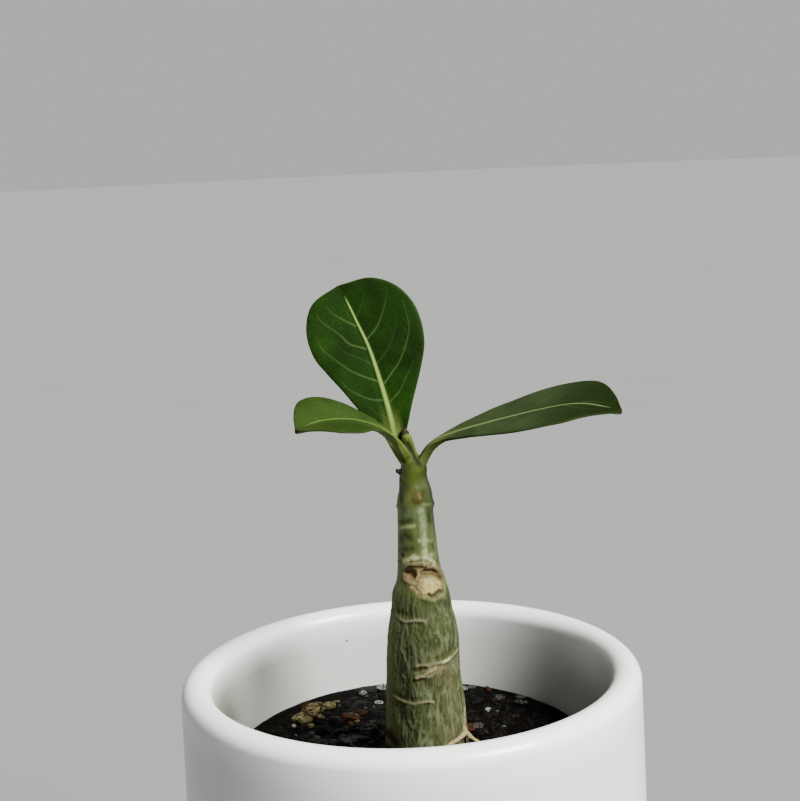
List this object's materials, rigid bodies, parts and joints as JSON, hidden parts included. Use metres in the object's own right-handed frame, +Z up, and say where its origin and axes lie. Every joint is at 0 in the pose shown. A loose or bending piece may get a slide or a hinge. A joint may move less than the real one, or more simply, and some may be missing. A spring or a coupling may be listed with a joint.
{
  "type": "potted desert rose plant",
  "caption": "Young desert rose with a swollen cracked stem and obovate leaves, rooted in dark soil in a round white glazed planter.",
  "frame": {"origin": "on the pot's axis, at the plane that its foot ring stands on", "axes": "+Z up along the pot's axis; +X to the right and +Y away, as the long leaf points right and towards the front"},
  "size_m": [0.1008, 0.1008, 0.1766],
  "materials": {
    "glaze": "gloss white glaze",
    "soil": "wet crumbly potting mix",
    "bark": "cracked green-grey living bark",
    "leaf_dark": "smooth satin leaf",
    "leaf_light": "smooth satin young leaf",
    "bark_chip": "rough dry bark",
    "perlite": "matt mineral grain"
  },
  "bodies": {
    "root": {"pot": "glaze", "soil": "soil", "stem": "bark", "leaf_upright": "leaf_dark", "leaf_left": "leaf_light", "leaf_right": "leaf_dark", "bark_chip_1": "bark_chip", "bark_chip_2": "bark_chip", "bark_chip_3": "bark_chip", "bark_chip_4": "bark_chip", "bark_chip_5": "bark_chip", "bark_chip_6": "bark_chip", "bark_chip_7": "bark_chip", "bark_chip_8": "bark_chip", "perlite_1": "perlite", "perlite_2": "perlite", "perlite_3": "perlite", "perlite_4": "perlite", "perlite_5": "perlite", "perlite_6": "perlite", "perlite_7": "perlite", "perlite_8": "perlite"}
  },
  "joints": []
}
